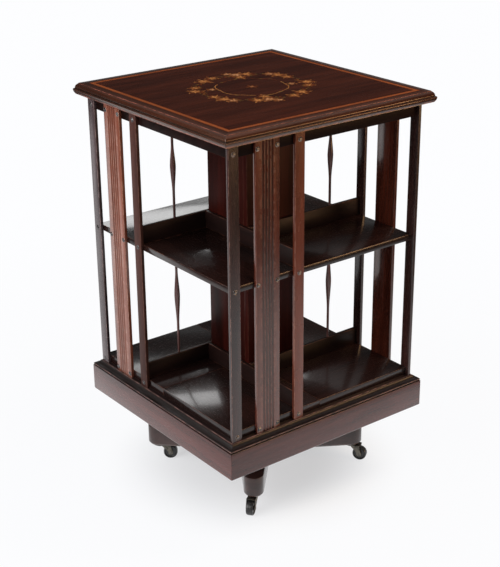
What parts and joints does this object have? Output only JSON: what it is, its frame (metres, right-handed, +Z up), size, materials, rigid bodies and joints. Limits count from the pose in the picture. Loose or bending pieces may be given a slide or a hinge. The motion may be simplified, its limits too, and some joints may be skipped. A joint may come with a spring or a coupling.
{
  "type": "revolving bookcase",
  "caption": "Square two-tier revolving bookcase with an inlaid moulded top, slatted open sides round a central core, and a cruciform base on castors.",
  "frame": {"origin": "on the floor under the turning axis, at the middle of the bounding box's underside", "axes": "+Z up along the turning post; -Y out of the front face of the case, whose sides are square to X and Y"},
  "size_m": [0.5, 0.5, 0.814],
  "materials": {
    "mahogany": "french polish, glossy",
    "mahogany_slats": "french polish, glossy",
    "satinwood": "french polish, glossy",
    "ebonised": "dark stain, satin",
    "iron": "black, oiled",
    "screw_steel": "blued, worn",
    "castor_brass": "dark patina",
    "castor_wheel": "hard black, satin"
  },
  "bodies": {
    "base": {"cross_bar_lower": "ebonised", "cross_bar_upper": "ebonised", "base_hub": "ebonised", "pivot_post": "iron", "thrust_washer": "castor_brass", "castor_plates": "castor_brass"},
    "case": {"bearing_plate": "iron", "bottom_board": "mahogany", "core_board_1": "mahogany", "core_board_2": "mahogany", "core_board_3": "mahogany", "core_board_4": "mahogany", "corner_slat_1": "mahogany_slats", "corner_slat_2": "mahogany_slats", "corner_slat_3": "mahogany_slats", "corner_slat_4": "mahogany_slats", "fluted_slat_1": "mahogany_slats", "fluted_slat_2": "mahogany_slats", "fluted_slat_3": "mahogany_slats", "fluted_slat_4": "mahogany_slats", "lower_fence_1": "mahogany", "lower_fence_2": "mahogany", "lower_fence_3": "mahogany", "lower_fence_4": "mahogany", "lower_spindles": "mahogany_slats", "middle_shelf": "mahogany", "narrow_slat_1": "mahogany_slats", "narrow_slat_2": "mahogany_slats", "narrow_slat_3": "mahogany_slats", "narrow_slat_4": "mahogany_slats", "plinth_moulding": "mahogany", "plinth_skirt_1": "mahogany", "plinth_skirt_2": "mahogany", "plinth_skirt_3": "mahogany", "plinth_skirt_4": "mahogany", "slat_screws": "screw_steel", "sub_top": "mahogany", "top_bush": "castor_brass", "top_slab": "mahogany", "top_stringing": "satinwood", "upper_fence_1": "mahogany", "upper_fence_2": "mahogany", "upper_fence_3": "mahogany", "upper_fence_4": "mahogany", "upper_spindles": "mahogany_slats"},
    "castor_back": {"castor_horn_back": "castor_brass", "castor_axle_back": "iron"},
    "wheel_back": {"castor_wheel_back": "castor_wheel"},
    "castor_left": {"castor_horn_left": "castor_brass", "castor_axle_left": "iron"},
    "wheel_left": {"castor_wheel_left": "castor_wheel"},
    "castor_near": {"castor_horn_near": "castor_brass", "castor_axle_near": "iron"},
    "wheel_near": {"castor_wheel_near": "castor_wheel"},
    "castor_right": {"castor_horn_right": "castor_brass", "castor_axle_right": "iron"},
    "wheel_right": {"castor_wheel_right": "castor_wheel"}
  },
  "joints": [
    {"name": "case_spin", "type": "hinge", "parent": "base", "child": "case", "pos_m": [0, 0, 0.2105], "axis": [0, 0, 1], "continuous": true},
    {"name": "castor_back_swivel", "type": "hinge", "parent": "base", "child": "castor_back", "pos_m": [0.12699, 0.15965, 0.038], "axis": [0, 0, 1], "continuous": true},
    {"name": "castor_back_roll", "type": "hinge", "parent": "castor_back", "child": "wheel_back", "pos_m": [0.12317, 0.13799, 0.015], "axis": [0.9848, -0.1736, 0], "continuous": true},
    {"name": "castor_left_swivel", "type": "hinge", "parent": "base", "child": "castor_left", "pos_m": [-0.15965, 0.12699, 0.038], "axis": [0, 0, 1], "continuous": true},
    {"name": "castor_left_roll", "type": "hinge", "parent": "castor_left", "child": "wheel_left", "pos_m": [-0.14163, 0.11437, 0.015], "axis": [0.5736, 0.8192, 0], "continuous": true},
    {"name": "castor_near_swivel", "type": "hinge", "parent": "base", "child": "castor_near", "pos_m": [-0.12699, -0.15965, 0.038], "axis": [0, 0, 1], "continuous": true},
    {"name": "castor_near_roll", "type": "hinge", "parent": "castor_near", "child": "wheel_near", "pos_m": [-0.14479, -0.17258, 0.015], "axis": [0.5878, -0.809, 0], "continuous": true},
    {"name": "castor_right_swivel", "type": "hinge", "parent": "base", "child": "castor_right", "pos_m": [0.15965, -0.12699, 0.038], "axis": [0, 0, 1], "continuous": true},
    {"name": "castor_right_roll", "type": "hinge", "parent": "castor_right", "child": "wheel_right", "pos_m": [0.17163, -0.14544, 0.015], "axis": [0.8387, 0.5446, 0], "continuous": true}
  ]
}
